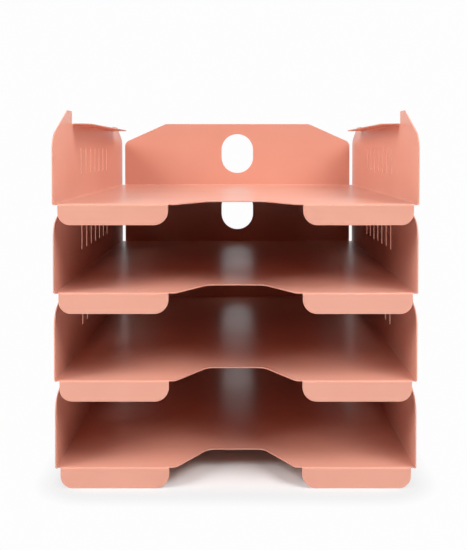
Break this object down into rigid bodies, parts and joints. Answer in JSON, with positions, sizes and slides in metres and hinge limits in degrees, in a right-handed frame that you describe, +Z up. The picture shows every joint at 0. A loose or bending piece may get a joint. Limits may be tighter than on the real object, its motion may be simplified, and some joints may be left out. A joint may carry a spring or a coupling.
{
  "type": "letter tray stack",
  "caption": "Stack of folded sheet-steel letter trays, open at the front, each with hanging front lips, a finger notch and side flanges that carry the tray above.",
  "frame": {"origin": "on the surface the stack stands on, under the middle of the whole stack's box", "axes": "+Z up, -Y towards the open front of the trays, +X to the right seen from the front"},
  "size_m": [0.2524, 0.3266, 0.2637],
  "materials": {
    "powder_coated_steel": "satin powder coat in salmon pink",
    "rubber": "matt moulded rubber"
  },
  "bodies": {
    "bottom": {"bottom_tray": "powder_coated_steel", "bottom_left_front_pad": "rubber", "bottom_left_rear_pad": "rubber", "bottom_left_rear_foot": "rubber", "bottom_right_front_pad": "rubber", "bottom_right_rear_pad": "rubber", "bottom_right_rear_foot": "rubber"},
    "lower_middle": {"lower_middle_tray": "powder_coated_steel", "lower_middle_left_front_pad": "rubber", "lower_middle_left_rear_pad": "rubber", "lower_middle_left_rear_foot": "rubber", "lower_middle_right_front_pad": "rubber", "lower_middle_right_rear_pad": "rubber", "lower_middle_right_rear_foot": "rubber"},
    "upper_middle": {"upper_middle_tray": "powder_coated_steel", "upper_middle_left_front_pad": "rubber", "upper_middle_left_rear_pad": "rubber", "upper_middle_left_rear_foot": "rubber", "upper_middle_right_front_pad": "rubber", "upper_middle_right_rear_pad": "rubber", "upper_middle_right_rear_foot": "rubber"},
    "top": {"top_tray": "powder_coated_steel", "top_left_front_pad": "rubber", "top_left_rear_pad": "rubber", "top_left_rear_foot": "rubber", "top_right_front_pad": "rubber", "top_right_rear_pad": "rubber", "top_right_rear_foot": "rubber"}
  },
  "joints": [
    {"name": "lower_middle_lift", "type": "slide", "parent": "bottom", "child": "lower_middle", "axis": [0, 0, 1], "range_m": [0, 0.03]},
    {"name": "upper_middle_lift", "type": "slide", "parent": "lower_middle", "child": "upper_middle", "axis": [0, 0, 1], "range_m": [0, 0.03]},
    {"name": "top_lift", "type": "slide", "parent": "upper_middle", "child": "top", "axis": [0, 0, 1], "range_m": [0, 0.03]}
  ]
}
